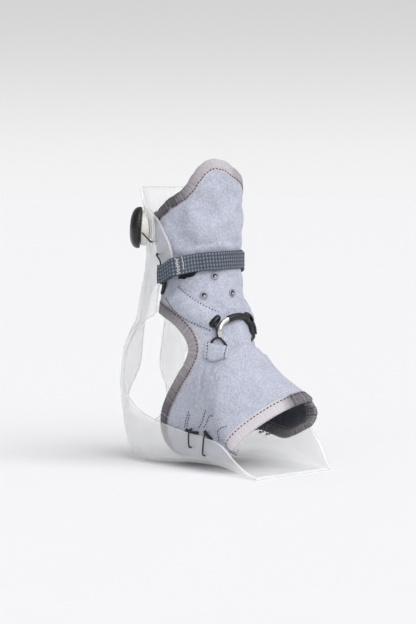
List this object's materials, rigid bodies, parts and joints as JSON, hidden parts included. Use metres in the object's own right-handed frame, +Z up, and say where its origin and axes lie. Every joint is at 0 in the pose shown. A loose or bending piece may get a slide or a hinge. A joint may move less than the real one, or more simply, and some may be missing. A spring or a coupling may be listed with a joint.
{
  "type": "foot drop brace",
  "caption": "Clear ankle-foot shell with a padded fabric wrap, a shin strap, and a lace wound by a dial on the calf and guided over the instep.",
  "frame": {"origin": "on the floor below the middle of the brace", "axes": "+X to the toes, +Z up, the dial's side at -Y"},
  "size_m": [0.1836, 0.0922, 0.251],
  "materials": {
    "shell": "clear thermoformed, slightly milky",
    "jersey": "grey heather padded jersey",
    "binding": "taupe knitted binding tape",
    "webbing": "slate ribbed webbing",
    "hook_tape": "black hook tape",
    "dial_base": "cream moulded",
    "dial_cap": "black satin moulded",
    "lace": "black braided lace",
    "steel": "polished",
    "cover": "black tubing",
    "cord": "black elastic cord"
  },
  "bodies": {
    "brace": {"shell": "shell", "wrap": "jersey", "binding_heel": "binding", "binding_top": "binding", "binding_toe": "binding", "strap": "webbing", "strap_hook": "hook_tape", "dial_base": "dial_base", "lace_upper": "lace", "lace_near": "lace", "lace_far": "lace", "sleeve_near": "jersey", "sleeve_far": "jersey", "tab_near": "jersey", "tab_far": "jersey", "eyelet_upper": "steel", "eyelet_near": "steel", "eyelet_far": "steel", "guide_arch": "steel", "arch_cover": "cover", "cord_rear_near": "cord", "cord_front_near": "cord", "cord_rear_far": "cord", "cord_front_far": "cord"},
    "knob": {"dial_knob": "dial_cap"}
  },
  "joints": [
    {"name": "dial_turn", "type": "hinge", "parent": "brace", "child": "knob", "pos_m": [-0.05863, -0.03128, 0.19622], "axis": [-0.6803, -0.7296, 0.0698], "continuous": true}
  ]
}
